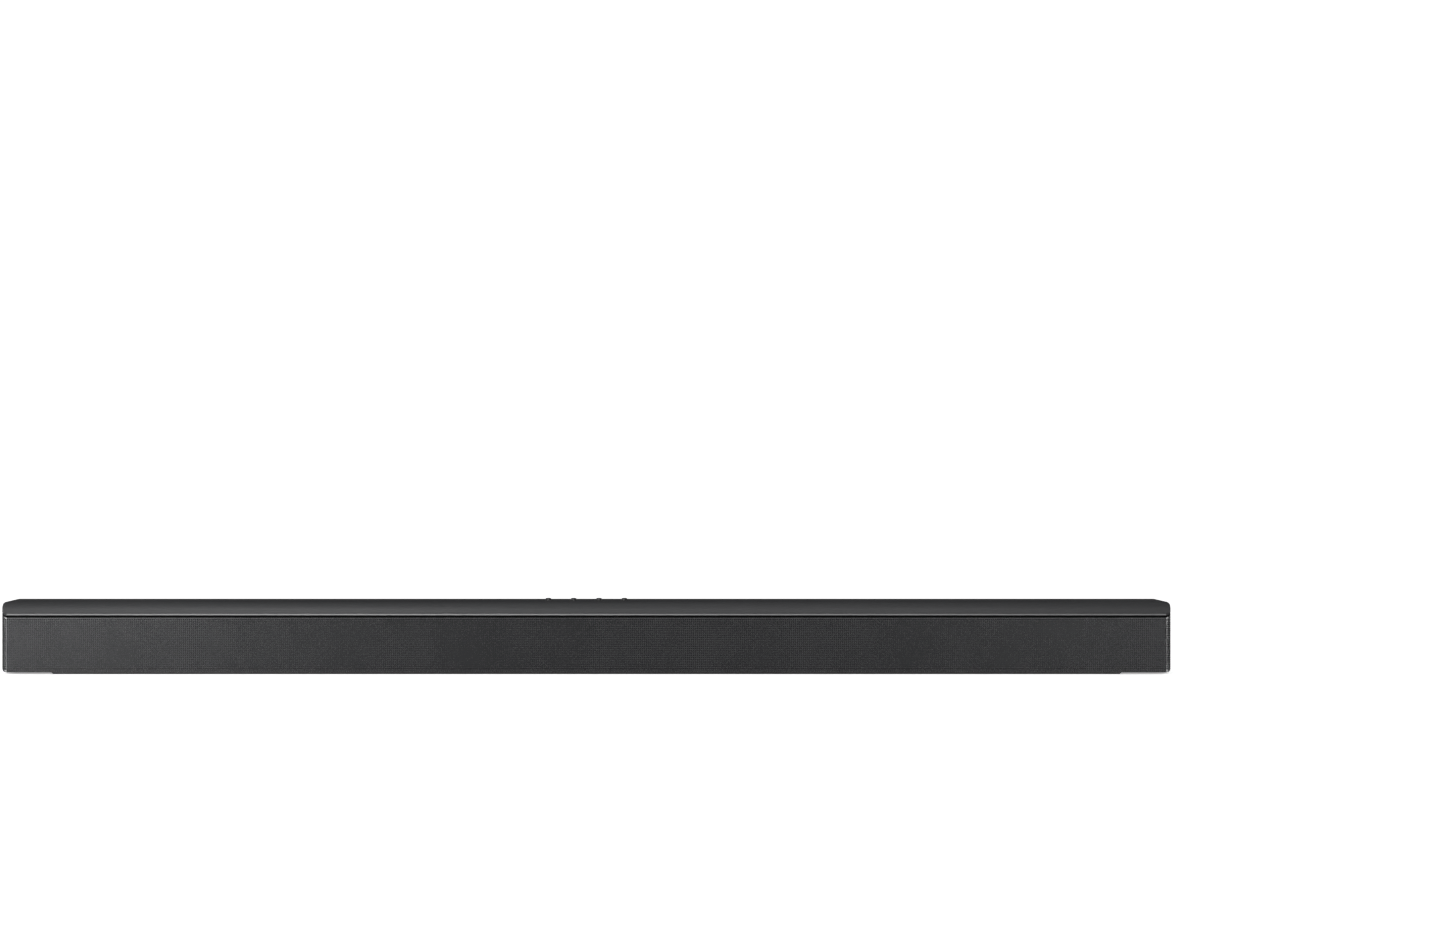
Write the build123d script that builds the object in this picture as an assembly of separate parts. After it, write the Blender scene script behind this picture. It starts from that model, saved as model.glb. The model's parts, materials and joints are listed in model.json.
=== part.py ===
"""Three-channel soundbar: perforated metal grille, moulded lid with four keys, lower case with
rear connector bays, and everything inside it. Millimetres. X is the length, the front faces -Y,
+Z is up, and the origin is the middle of the footprint on the surface that the bar stands on."""

from build123d import *
import math
import os

# ---------------------------------------------------------------- driving dimensions
LENGTH = 980.0            # overall, along X
DEPTH = 105.0             # overall, along Y
HEIGHT = 60.5             # top of the lid above the table, keys not counted
HX, HY = LENGTH / 2, DEPTH / 2

FOOT_GAP = 0.25           # rubber stands this far below the sole plateau
SOLE_DROP = 1.6           # underside of the case outside the plateau
SOLE_HALF_X = 449.0       # the plateau's half length
SHEET = 0.8               # grille sheet
CLOTH = 0.4               # acoustic cloth behind the grille
GRILLE_Z0, GRILLE_Z1 = 1.5, 47.4
GRILLE_REAR_Y = 33.0      # where the grille's end wings stop
CORNER_R = 6.0            # vertical corner radius of grille and lid, front
REAR_R = 5.0              # vertical corner radius, rear
SOLE_R = 4.0              # rounding of the two lower end edges
SHADOW = 2.0              # groove between grille and lid
LID_Z0 = GRILLE_Z1 + SHADOW
FLARE_X, FLARE_R = 485.0, 5.25  # the grille's top edge curls up round the ends from here
LID_FLARE_X, LID_FLARE_R = 486.2, 3.95   # and the lid's lower edge from here
CEILING = HEIGHT - 2.5    # underside of the lid's top skin
SLOPE = 44.0              # angle of the lid's front slope above the horizontal
LIP = (-52.17, 50.7)      # top of the bright edge facet that runs along the lid's front (y, z)
LIP_NOTCH = (-51.75, 50.82)   # fine line between the facet and the slope
SLOPE_FOOT = (-51.88, 51.15)
SLOPE_TOP_Y = SLOPE_FOOT[0] + (HEIGHT - SLOPE_FOOT[1]) / math.tan(math.radians(SLOPE))
WALL = 2.5                # moulded wall

BAFFLE_FRONT, PLATE_FRONT, PLATE_BACK = -51.2, -44.5, -41.5
DRIVER_Z = 26.5
WOOFERS = {"left": -370.0, "centre_left": -86.0, "centre_right": 86.0, "right": 370.0}
TWEETERS = {"left": -452.0, "centre": 0.0, "right": 452.0}
KEY_PITCH, KEY_Y, KEY_R, KEY_TOP = 21.5, 3.0, 2.65, 62.6
KEY_TRAVEL = 0.6
KEYS = ("button_power", "button_volume_down", "button_volume_up", "button_source")
CONE_TRAVEL = 2.5
DISPLAY_X, IR_X = 235.0, 182.0
PILLARS = [(-476, 42), (476, 42), (-290, 42), (290, 42), (-118, 42), (118, 42),
           (-245, -32), (245, -32), (-160, -32), (160, -32)]
BAY = (-80.0, 80.0, 29.7, 8.0)        # io bay: x0, x1, floor of the recess (y), unused
DC_BAY = (150.0, 200.0)
BAY_ROOF = 40.0
HOLDER_X, HOLDER_Z = 330.0, 28.0      # wall-holder inserts
BOARD_Z = 12.0

os.makedirs("parts", exist_ok=True)


# ---------------------------------------------------------------- helpers
def bx(x0, x1, y0, y1, z0, z1):
    return Pos((x0 + x1) / 2, (y0 + y1) / 2, (z0 + z1) / 2) * Box(x1 - x0, y1 - y0, z1 - z0)


def cz(x, y, z0, z1, r):
    return Pos(x, y, (z0 + z1) / 2) * Cylinder(r, z1 - z0)


def cy(x, z, y0, y1, r):
    return Pos(x, (y0 + y1) / 2, z) * Rot(90, 0, 0) * Cylinder(r, y1 - y0)


def wire_of(points, place):
    """Closed wire through (u, v, corner radius) points; place maps (u, v) to 3-D."""
    n, legs = len(points), []
    for i, (u, v, r) in enumerate(points):
        p = (u, v)
        if r <= 0:
            legs.append((p, None, p))
            continue
        a, b = points[i - 1][:2], points[(i + 1) % n][:2]
        d1 = (a[0] - u, a[1] - v)
        d2 = (b[0] - u, b[1] - v)
        l1, l2 = math.hypot(*d1), math.hypot(*d2)
        d1, d2 = (d1[0] / l1, d1[1] / l1), (d2[0] / l2, d2[1] / l2)
        half = math.acos(max(-1, min(1, d1[0] * d2[0] + d1[1] * d2[1]))) / 2
        t = r / math.tan(half)
        bis = (d1[0] + d2[0], d1[1] + d2[1])
        lb = math.hypot(*bis)
        k = r / math.sin(half) - r
        legs.append(((u + d1[0] * t, v + d1[1] * t),
                     (u + bis[0] / lb * k, v + bis[1] / lb * k),
                     (u + d2[0] * t, v + d2[1] * t)))
    edges = []
    for i, (s, m, e) in enumerate(legs):
        if m is not None:
            edges.append(Edge.make_three_point_arc(place(*s), place(*m), place(*e)))
        nxt = legs[(i + 1) % n][0]
        if math.hypot(nxt[0] - e[0], nxt[1] - e[1]) > 1e-6:
            edges.append(Edge.make_line(place(*e), place(*nxt)))
    return Wire(edges)


def plan(points, z0, z1):
    return extrude(Face(wire_of(points, lambda u, v: Vector(u, v, z0))), z1 - z0, (0, 0, 1))


def front(points, y0, y1):
    return extrude(Face(wire_of(points, lambda u, v: Vector(u, y0, v))), y1 - y0, (0, 1, 0))


def side(points, x0, x1):
    return extrude(Face(wire_of(points, lambda u, v: Vector(x0, u, v))), x1 - x0, (1, 0, 0))


def slot_at(x, z, y, w, h):
    """Racetrack face, long along X, facing -Y."""
    return Plane(origin=(x, y, z), x_dir=(1, 0, 0), z_dir=(0, -1, 0)) * SlotOverall(w, h)


def slot_y(x, z, y0, y1, w, h):
    return extrude(slot_at(x, z, y0, w, h), y1 - y0, (0, 1, 0))


def slot_loft(x, z, y0, w0, h0, y1, w1, h1):
    return loft([slot_at(x, z, y0, w0, h0), slot_at(x, z, y1, w1, h1)])


def turned_y(x, z, points):
    """Solid of revolution about a line along Y through (x, z), from closed (r, y) points."""
    face = Face(wire_of([(r, y, 0) for r, y in points], lambda u, v: Vector(x + u, v, z)))
    return revolve(face, Axis((x, 0, z), (0, 1, 0)), 360)


def turned_z(x, y, points):
    face = Face(wire_of([(r, z, 0) for r, z in points], lambda u, v: Vector(x + u, y, v)))
    return revolve(face, Axis((x, y, 0), (0, 0, 1)), 360)


def fuse(*shapes):
    out = shapes[0]
    for s in shapes[1:]:
        out = out + s
    return out


def flare(z0, r, start, z_far=75.0, x_far=HX):
    """Region between a parting line and z_far: level at z0, curling up on radius r past start."""
    rise_x = x_far - start
    t = math.asin(rise_x / r)
    zc = z0 + r

    def arc(sign):
        return Edge.make_three_point_arc(
            Vector(sign * start, 0, z0),
            Vector(sign * (start + r * math.sin(t / 2)), 0, zc - r * math.cos(t / 2)),
            Vector(sign * x_far, 0, zc - r * math.cos(t)))
    z_end = zc - r * math.cos(t)
    edges = [Edge.make_line((-start, 0, z0), (start, 0, z0)), arc(1),
             Edge.make_line((x_far, 0, z_end), (x_far, 0, z_far)),
             Edge.make_line((x_far, 0, z_far), (-x_far, 0, z_far)),
             Edge.make_line((-x_far, 0, z_far), (-x_far, 0, z_end)), arc(-1)]
    face = Face(Wire(edges))
    return Pos(0, -80, 0) * extrude(face, 160, (0, 1, 0))


def save(name, shape):
    solids = list(shape.solids()) if not isinstance(shape, (list, tuple)) else [
        s for item in shape for s in item.solids()]
    out = solids[0] if len(solids) == 1 else Compound(children=solids)
    export_step(out, f"parts/{name}.step")
    print(name, len(solids), round(sum(s.volume for s in solids), 1))


ABOVE_GRILLE = flare(GRILLE_Z1, FLARE_R, FLARE_X)
ABOVE_PARTING = flare(LID_Z0, LID_FLARE_R, LID_FLARE_X)         # what belongs to the lid
ABOVE_CASE = flare(LID_Z0 - 0.4, LID_FLARE_R, LID_FLARE_X)      # 0.4 mm line round the rear

# ---------------------------------------------------------------- front grille and cloth


def u_band(off, t, y_rear, z0, z1):
    ro, ri = CORNER_R - off, CORNER_R - off - t
    xo, yo = HX - off, -HY + off
    return plan([(-xo, y_rear, 0), (-xo, yo, ro), (xo, yo, ro), (xo, y_rear, 0),
                 (xo - t, y_rear, 0), (xo - t, yo + t, ri), (-xo + t, yo + t, ri),
                 (-xo + t, y_rear, 0)], z0, z1)


def end_view(z0, r, x=HX):
    return front([(-x, z0, r), (x, z0, r), (x, 75, 0), (-x, 75, 0)], -80, 80)


grille = (u_band(0, SHEET, GRILLE_REAR_Y, GRILLE_Z0, 56) & end_view(GRILLE_Z0, SOLE_R)) - ABOVE_GRILLE
save("front_grille", grille)
cloth = (u_band(SHEET, CLOTH, GRILLE_REAR_Y, 4.2, 56) & end_view(2.0, SOLE_R)) - flare(GRILLE_Z1 - 0.4, FLARE_R, FLARE_X)
save("grille_cloth", cloth)

# ---------------------------------------------------------------- lid
lid = side([(-HY, LID_Z0, 0.15), (*LIP, 0.1), (*LIP_NOTCH, 0), (*SLOPE_FOOT, 0.12), (SLOPE_TOP_Y, HEIGHT, 24.0),
            (HY, HEIGHT, 1.6), (HY, LID_Z0, 0)], -HX, HX)
lid = lid & plan([(-HX, -HY, CORNER_R), (HX, -HY, CORNER_R), (HX, HY, REAR_R), (-HX, HY, REAR_R)], 40, 70)
lid = lid & front([(-HX, 40, 0), (HX, 40, 0), (HX, HEIGHT, 2.6), (-HX, HEIGHT, 2.6)], -80, 80)
lid = lid & ABOVE_PARTING
inset = WALL * math.tan(math.radians(SLOPE / 2))
hollow_z = CEILING - (48.6 + SLOPE_TOP_Y + inset) * math.tan(math.radians(SLOPE))
hollow = side([(-48.6, 40, 0), (-48.6, hollow_z, 0.8), (SLOPE_TOP_Y + inset, CEILING, 21.5),
               (HY - WALL, CEILING, 0), (HY - WALL, 40, 0)], -HX + WALL, HX - WALL)
hollow = hollow & plan([(-HX + WALL, -48.6, 3.5), (HX - WALL, -48.6, 3.5),
                        (HX - WALL, HY - WALL, 2.5), (-HX + WALL, HY - WALL, 2.5)], 30, 65)
lid = lid - hollow
KEY_X = [(-1.5 + i) * KEY_PITCH for i in range(4)]
for x, y in PILLARS:                                  # screw bosses that meet the case pillars
    lid = lid + cz(x, y, 46.2, CEILING + 0.5, 4.0)
for x in (-50.0, 50.0):                               # key board bosses
    lid = lid + cz(x, KEY_Y, 52.1, CEILING + 0.5, 3.0)
for x in range(-420, 421, 70):                        # stiffening ribs under the top skin
    if abs(x) > 60:
        lid = lid + bx(x - 0.75, x + 0.75, -38.0, HY - WALL + 0.5, 54.5, CEILING + 0.5)
for x, y in PILLARS:
    lid = lid - cz(x, y, 46.0, 56.0, 1.55)
for x in (-50.0, 50.0):
    lid = lid - cz(x, KEY_Y, 52.0, 56.6, 1.35)
for x in KEY_X:
    lid = lid - cz(x, KEY_Y, 50.0, 65.0, KEY_R + 0.25)
    lid = lid - turned_z(x, KEY_Y, [(0, HEIGHT - 0.45), (KEY_R + 0.25, HEIGHT - 0.45), (KEY_R + 0.9, HEIGHT + 0.2), (0, HEIGHT + 0.2)])
save("top_cover", lid)

# ---------------------------------------------------------------- keys
for name, x in zip(KEYS, KEY_X):
    key = turned_z(x, KEY_Y, [
        (0, 54.6), (1.6, 54.6), (1.6, CEILING - 1.1), (4.0, CEILING - 1.1), (4.0, CEILING - 0.3), (KEY_R, CEILING - 0.3),
        (KEY_R, KEY_TOP - 1.25), (KEY_R - 0.16, KEY_TOP - 0.72), (KEY_R - 0.5, KEY_TOP - 0.34),
        (KEY_R - 1.0, KEY_TOP - 0.1), (0.9, KEY_TOP), (0, KEY_TOP)])
    save(name, key)
board = bx(-56, 56, KEY_Y - 9, KEY_Y + 9, 50.4, 52.0)
for x in (-50.0, 50.0):
    board = board - cz(x, KEY_Y, 50, 53, 1.5)
save("key_board", board)
save("key_switches", [bx(x - 3.1, x + 3.1, KEY_Y - 3.1, KEY_Y + 3.1, 52.0, 55.6)
                      - cz(x, KEY_Y, 53.6, 56, 1.75) for x in KEY_X])

# ---------------------------------------------------------------- lower case
IN = HX - SHEET - CLOTH - 0.1          # 488.7, the case's outside behind the grille's wings
outer = plan([(-IN, BAFFLE_FRONT, 4.7), (IN, BAFFLE_FRONT, 4.7), (IN, GRILLE_REAR_Y + 0.3, 0),
              (HX, GRILLE_REAR_Y + 0.3, 0), (HX, HY, REAR_R), (-HX, HY, REAR_R),
              (-HX, GRILLE_REAR_Y + 0.3, 0), (-IN, GRILLE_REAR_Y + 0.3, 0)], SOLE_DROP, 56)
outer = outer & end_view(SOLE_DROP, SOLE_R)
room = front([(-IN + WALL, SOLE_DROP + WALL, 2.0), (IN - WALL, SOLE_DROP + WALL, 2.0),
              (IN - WALL, 70, 0), (-IN + WALL, 70, 0)], -60, HY - WALL)
room = room & plan([(-IN + WALL, -60, 0), (IN - WALL, -60, 0), (IN - WALL, HY - WALL, 2.5),
                    (-IN + WALL, HY - WALL, 2.5)], -10, 80)
case = (outer - room) - ABOVE_CASE
FLOOR = SOLE_DROP + WALL
# sole plateau with sloped edges, proud of the rest of the underside
sole = front([(-SOLE_HALF_X + 2.0, FOOT_GAP, 0), (SOLE_HALF_X - 2.0, FOOT_GAP, 0),
              (SOLE_HALF_X, SOLE_DROP + 0.2, 0), (-SOLE_HALF_X, SOLE_DROP + 0.2, 0)], -49.6, 44.0)
case = case + sole
PART_X = (-300, -190, 190, 300)
ribs = []
for x in PART_X:                                       # chamber walls with a notch for the leads
    ribs.append(bx(x - 1, x + 1, PLATE_BACK + 0.2, HY - WALL + 0.5, FLOOR - 0.5, 47.5) - bx(x - 2, x + 2, 3, 19, FLOOR, 12))
for i, r in enumerate(ribs):
    case = case + r
for x, y in PILLARS:
    case = case + cz(x, y, FLOOR - 0.5, 46.0, 4.6)
for x, y in PILLARS:
    case = case - cz(x, y, -1, 42.0, 3.2) - cz(x, y, 41, 47, 1.75)
# io bay, open to the rear and downwards, and the same for the power inlet


def bay(x0, x1, y_in, shell=True):
    body = bx(x0 - WALL, x1 + WALL, y_in - 1.2 - WALL, HY - 0.5, SOLE_DROP, BAY_ROOF + WALL)
    cut = bx(x0, x1, y_in - 1.2, HY + 5, -5, BAY_ROOF)
    return body, cut


for x0, x1 in ((BAY[0], BAY[1]), DC_BAY):
    body, cut = bay(x0, x1, BAY[2])
    case = (case + body) - cut
case = case - bx(-66, 66, 24, 29, 11.0, 23.5)          # window for the socket fronts
case = case - bx(DC_BAY[0] + 14, DC_BAY[1] - 14, 24, 29, 11.0, 26.5)
# bosses: main board, wireless board, dc jack board
BOARD_HOLES = [(-130, 2), (130, 2), (-130, 20), (130, 20), (0, -14)]
for x, y in BOARD_HOLES:
    case = (case + cz(x, y, FLOOR - 0.5, BOARD_Z, 3.4)) - cz(x, y, 5.4, BOARD_Z + 1, 1.35)
DC_HOLES = [(166.0, 16.6), (184.0, 16.6)]
RADIO_HOLES = [(-184.0, 20.5), (-154.5, 41.5)]
for x, y in DC_HOLES + RADIO_HOLES:
    case = (case + cz(x, y, FLOOR - 0.5, BOARD_Z, 2.2)) - cz(x, y, 6.0, BOARD_Z + 1, 1.05)
PLATE_HOLES = (-72.0, 72.0, 155.5, 194.5)              # screws of the connector plates
for x in PLATE_HOLES:
    case = (case + cy(x, 17.5, 22.0, 27.0, 3.0)) - cy(x, 17.5, 22.6, 30, 1.25)
for x in (-HOLDER_X, HOLDER_X):                        # bosses round the wall-holder inserts
    case = (case + cy(x, HOLDER_Z, 38.0, HY - 0.5, 6.5)) - cy(x, HOLDER_Z, 40.5, HY + 1, 3.0)
for i in range(14):                                    # vents behind the amplifier
    x = -138 + i * 3.6 - (0 if i < 7 else -0.0)
    case = case - (Pos(x - 1, HY - 1, 27) * Box(1.8, 10, 16))
FEET = [(-400, 30), (400, 30), (-400, -36), (400, -36)]
for x, y in FEET:                                      # shallow pockets for the rubber feet
    case = case - plan([(x - 22, y - 6.1, 5.9), (x + 22, y - 6.1, 5.9), (x + 22, y + 6.1, 5.9),
                        (x - 22, y + 6.1, 5.9)], 0, 1.6)
case = case - bx(-150, -60, -16, 22, -1, FOOT_GAP + 0.25)   # recess for the rating label
save("bottom_case", case)
save("rubber_feet", [plan([(x - 22, y - 6, 5.8), (x + 22, y - 6, 5.8), (x + 22, y + 6, 5.8),
                           (x - 22, y + 6, 5.8)], 0, 1.6) for x, y in FEET])
save("rating_label", bx(-149.8, -60.2, -15.8, 21.8, FOOT_GAP + 0.1, FOOT_GAP + 0.25))
save("case_screws", [fuse(cz(x, y, 39.8, 42.0, 2.9), cz(x, y, 42.0, 52.5, 1.5))
                     - Pos(x, y, 39.9) * Box(3.2, 0.8, 1.2) - Pos(x, y, 39.9) * Box(0.8, 3.2, 1.2)
                     for x, y in PILLARS])
save("wall_mount_inserts", [cy(x, HOLDER_Z, 40.5, HY, 3.0) - cy(x, HOLDER_Z, 40, HY + 1, 1.65)
                            for x in (-HOLDER_X, HOLDER_X)])

# ---------------------------------------------------------------- front baffle
baffle = bx(-IN + WALL + 0.1, IN - WALL - 0.1, BAFFLE_FRONT, PLATE_BACK, FLOOR, 56)
baffle = baffle & plan([(-IN, BAFFLE_FRONT, 4.7), (IN, BAFFLE_FRONT, 4.7), (IN, 0, 0), (-IN, 0, 0)], 0, 60)
baffle = baffle & end_view(FLOOR, 2.1, IN - WALL - 0.1)
baffle = baffle - ABOVE_PARTING
baffle = baffle - bx(-482, 482, BAFFLE_FRONT - 1, PLATE_FRONT, 6.5, 46.8)
baffle = baffle - bx(-486, 486, BAFFLE_FRONT - 1, -48.4, 47.4, 60)     # deep shadow line under the lid
for x in (-430.75, -306, -240, -148, -24.5, 24.5, 148, 306, 430.75):     # cloth-backing ribs
    baffle = baffle + bx(x - 0.9, x + 0.9, BAFFLE_FRONT, PLATE_FRONT + 0.1, 6.4, 46.9)
for x in WOOFERS.values():
    baffle = baffle - slot_y(x, DRIVER_Z, -46, -40, 100.5, 36.5)
    for sx in (-53.5, 53.5):
        for sz in (-14.5, 14.5):
            baffle = baffle + cy(x + sx, DRIVER_Z + sz, PLATE_BACK - 0.1, PLATE_BACK + 5, 3.0)
            baffle = baffle - cy(x + sx, DRIVER_Z + sz, -45, PLATE_BACK + 4, 1.3)
for x in TWEETERS.values():
    baffle = baffle - cy(x, DRIVER_Z, -46, -40, 15.4)
    for s in (-1, 1):
        baffle = baffle + cy(x + s * 14.6, DRIVER_Z + s * 14.6, PLATE_BACK - 0.1, PLATE_BACK + 5, 2.8)
        baffle = baffle - cy(x + s * 14.6, DRIVER_Z + s * 14.6, -45, PLATE_BACK + 4, 1.3)
        baffle = baffle - cy(x, DRIVER_Z, -46, -30, 15.4)
baffle = baffle - bx(DISPLAY_X - 33, DISPLAY_X + 33, -46, -40, DRIVER_Z - 6, DRIVER_Z + 6)
baffle = baffle - cy(IR_X, DRIVER_Z, -46, -40, 3.3)
save("front_baffle", baffle)

# ---------------------------------------------------------------- woofers


def racetrack_roll(x, z, y, w, h, r, t):
    """Half-roll surround whose centre line is a racetrack of w by h, bulging towards -Y."""
    straight = w - h
    ring = []
    for s in (-1, 1):
        zc = z + s * h / 2
        tube = Pos(x, y, zc) * Rot(0, 90, 0) * Cylinder(r, straight)
        bore = Pos(x, y, zc) * Rot(0, 90, 0) * Cylinder(r - t, straight + 1)
        ring.append((tube - bore) & bx(x - w, x + w, y - 9, y, z - h, z + h))
        xc = x + s * straight / 2
        tor = Pos(xc, y, z) * Rot(90, 0, 0) * Torus(h / 2, r)
        tin = Pos(xc, y, z) * Rot(90, 0, 0) * Torus(h / 2, r - t)
        keep = bx(xc, xc + s * w, y - 9, y, z - h, z + h) if s > 0 else bx(xc - w, xc, y - 9, y, z - h, z + h)
        ring.append((tor - tin) & keep)
    return fuse(*ring)


screws = []
for tag, x in WOOFERS.items():
    z = DRIVER_Z
    n = f"woofer_{tag}"
    flange = front([(x - 58, z - 19.6, 4), (x + 58, z - 19.6, 4), (x + 58, z + 19.6, 4),
                    (x - 58, z + 19.6, 4)], -46.0, PLATE_FRONT)
    basket = flange + slot_loft(x, z, -44.6, 99, 34.8, -30, 48, 34.8)
    basket = basket - slot_loft(x, z, -47.6, 95.5, 31.5, -30, 44, 31.5)
    basket = basket - slot_y(x, z, -47, -44.4, 90, 28.5)
    basket = basket + slot_y(x, z, -30, -28.5, 48, 34.8) + cy(x, z, -28.6, -22, 17.4)
    basket = basket - cy(x, z, -31, -21, 13.4)
    for s in (-1, 1):                                  # basket windows
        basket = basket - bx(x + s * 20 - 8, x + s * 20 + 8, -41, -31.5, 0, 50)
        basket = basket - bx(x + s * 60 - 34, x + s * 60 + 34, -40, -31.5, z - 8, z + 8)
    basket = basket - bx(x - 20, x + 20, -27.5, -23, z - 5, z + 5)
    for sx in (-53.5, 53.5):
        for sz in (-14.5, 14.5):
            basket = basket - cy(x + sx, z + sz, -50, -44, 1.6)
            screws.append(fuse(cy(x + sx, z + sz, -47.4, -46.0, 2.4), cy(x + sx, z + sz, -46.0, -38.6, 1.25))
                          - bx(x + sx - 1.5, x + sx + 1.5, -48, -46.8, z + sz - 0.3, z + sz + 0.3)
                          - bx(x + sx - 0.3, x + sx + 0.3, -48, -46.8, z + sz - 1.5, z + sz + 1.5))
    save(n + "_basket", basket)
    save(n + "_motor", [cy(x, z, -22, -19, 18) - cy(x, z, -23, -18, 9.7),                 # top plate
                        cy(x, z, -19, -9, 19.4) - cy(x, z, -20, -8, 11.5),                # magnet
                        fuse(cy(x, z, -9, -6, 18), cy(x, z, -22, -8.9, 7.8)) - cy(x, z, -23, -5, 2.5)])   # yoke
    dish = slot_loft(x, z, -46.2, 81, 19.4, -38, 18.6, 18.2)
    cone = (Pos(0, 0.8, 0) * dish) - dish
    cap = turned_y(x, z, [(0, -42.2), (3, -41.9), (6, -40.8), (8, -39.3), (8.8, -38), (8.1, -38),
                          (7.4, -39.0), (5.6, -40.3), (2.8, -41.3), (0, -41.6)])
    former = cy(x, z, -37.2, -16, 9.0) - cy(x, z, -38, -15, 8.4)
    winding = cy(x, z, -22.5, -16, 9.3) - cy(x, z, -23, -15, 9.0)
    save(n + "_cone", [cone, cap, former, winding])
    foot = slot_y(x, z, -46.5, -46.0, 96, 34.5) - slot_y(x, z, -47, -45.5, 90.6, 29.1)
    lip = slot_y(x, z, -46.7, -46.2, 81.4, 19.8) - slot_y(x, z, -47, -46, 78.6, 17.0)
    roll = racetrack_roll(x, z, -46.2, 86.0, 24.4, 2.4, 0.45)
    save(n + "_surround", fuse(foot, roll, lip))
    zig = [(9.05, -30.2), (9.9, -31.0), (11.1, -29.4), (12.3, -31.0), (13.3, -30.4), (15.7, -30.4),
           (15.7, -30.0), (13.1, -30.0), (12.3, -30.5), (11.1, -28.9), (9.9, -30.5), (9.05, -29.7)]
    save(n + "_spider", turned_y(x, z, zig))

# ---------------------------------------------------------------- tweeters
for tag, x in TWEETERS.items():
    z = DRIVER_Z
    n = f"tweeter_{tag}"
    plate = front([(x - 18.5, z - 18.5, 4), (x + 18.5, z - 18.5, 4), (x + 18.5, z + 18.5, 4),
                   (x - 18.5, z + 18.5, 4)], -47.0, PLATE_FRONT)
    plate = plate - turned_y(x, z, [(0, -48), (17.2, -48), (16.4, -47.0), (13.2, -45.7), (10.8, -44.4), (0, -44.4)])
    for s in (-1, 1):
        plate = plate - cy(x + s * 14.6, z + s * 14.6, -50, -44, 1.6)
        screws.append(fuse(cy(x + s * 14.6, z + s * 14.6, -48.4, -47.0, 2.4),
                           cy(x + s * 14.6, z + s * 14.6, -47.0, -38.6, 1.25)))
    motor = cy(x, z, PLATE_FRONT, -31, 15.0) - (cy(x, z, -45, -37.5, 10.9) - cy(x, z, -46, -37, 9.5))
    save(n + "_housing", [plate, motor])
    dome = turned_y(x, z, [(0, -48.6), (3.6, -48.1), (6.8, -47.1), (9.3, -45.8), (10.3, -45.0), (10.3, -39.5),
                           (9.9, -39.5), (9.9, -44.8), (9.0, -45.5), (6.6, -46.7), (3.5, -47.7), (0, -48.2)])
    save(n + "_dome", dome)
save("driver_screws", screws)

# ---------------------------------------------------------------- electronics
pcb = bx(-140, 140, -3, 25.6, BOARD_Z, BOARD_Z + 1.6) + bx(-58, 58, -20, -3, BOARD_Z, BOARD_Z + 1.6)
for x, y in BOARD_HOLES:
    pcb = pcb - cz(x, y, 10, 15, 1.6)
save("main_board", pcb)
TOP = BOARD_Z + 1.6
save("small_screws", [fuse(cz(x, y, TOP, TOP + 1.8, 2.8), cz(x, y, 6.0, TOP, 1.3)) - Pos(x, y, TOP + 1.6) * Box(3, 0.7, 1.0)
                      for x, y in BOARD_HOLES]
     + [fuse(cz(x, KEY_Y, 48.7, 50.4, 2.5), cz(x, KEY_Y, 50.4, 56.4, 1.3)) - Pos(x, KEY_Y, 48.8) * Box(3, 0.7, 1.0)
        for x in (-50, 50)]
     + [fuse(cz(x, y, z, z + 1.5, 2.1), cz(x, y, 6.5, z, 1.0)) - Pos(x, y, z + 1.4) * Box(2.4, 0.6, 0.9)
        for (x, y), z in zip(DC_HOLES + RADIO_HOLES, (TOP, TOP, BOARD_Z + 1.2, BOARD_Z + 1.2))]
     + [fuse(cy(x, 17.5, 29.7, 31.1, 2.4), cy(x, 17.5, 23.0, 29.7, 1.2)) - Pos(x, 31.0, 17.5) * Box(3.2, 0.9, 0.7)
        - Pos(x, 31.0, 17.5) * Box(0.7, 0.9, 3.2) for x in PLATE_HOLES])
sink = bx(-124, -64, 0, 21, TOP + 1.4, TOP + 4.4)
for i in range(9):
    sink = sink + bx(-124 + i * 7.35, -124 + i * 7.35 + 1.2, 0, 21, TOP + 4.3, TOP + 20)
save("heat_sink", sink)
save("board_chips", [bx(-116, -102, 5, 19, TOP, TOP + 1.4), bx(-86, -72, 5, 19, TOP, TOP + 1.4),
                     bx(14, 34, -14, 6, TOP, TOP + 1.8)])
save("filter_capacitors", [cz(x, y, TOP, TOP + 18, 6.25) - (cz(x, y, TOP + 2.2, TOP + 3.0, 7) - cz(x, y, TOP + 1, TOP + 4, 5.9))
                           for x, y in ((72, 9), (88, 9), (104, 9), (120, 12))])
save("output_chokes", [turned_z(x, y, [(2.6, TOP), (6.2, TOP), (6.2, TOP + 7), (2.6, TOP + 7)])
                       for x, y in ((-30, -10), (-14, -10), (-30, 6), (-14, 6))])
radio = bx(-187, -152, 17.5, 44.5, BOARD_Z, BOARD_Z + 1.2)
for x, y in RADIO_HOLES:
    radio = radio - cz(x, y, 11, 15, 1.3)
save("wireless_module", [radio, bx(-180, -160, 23, 38, BOARD_Z + 1.2, BOARD_Z + 3.6)])


def socket(x0, w, h, y0, y1, z0, opening, tongue):
    """Shell with a rectangular mouth towards +Y and a tongue; opening is (w, h, depth)."""
    s = bx(x0 - w / 2, x0 + w / 2, y0, y1, z0, z0 + h)
    ow, oh, od = opening
    zc = z0 + h / 2
    s = s - bx(x0 - ow / 2, x0 + ow / 2, y1 - od, y1 + 1, zc - oh / 2, zc + oh / 2)
    if tongue:
        tw, th, dz = tongue
        s = s + bx(x0 - tw / 2, x0 + tw / 2, y1 - od - 0.1, y1 - 0.8, zc + dz - th / 2, zc + dz + th / 2)
    return s


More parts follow.
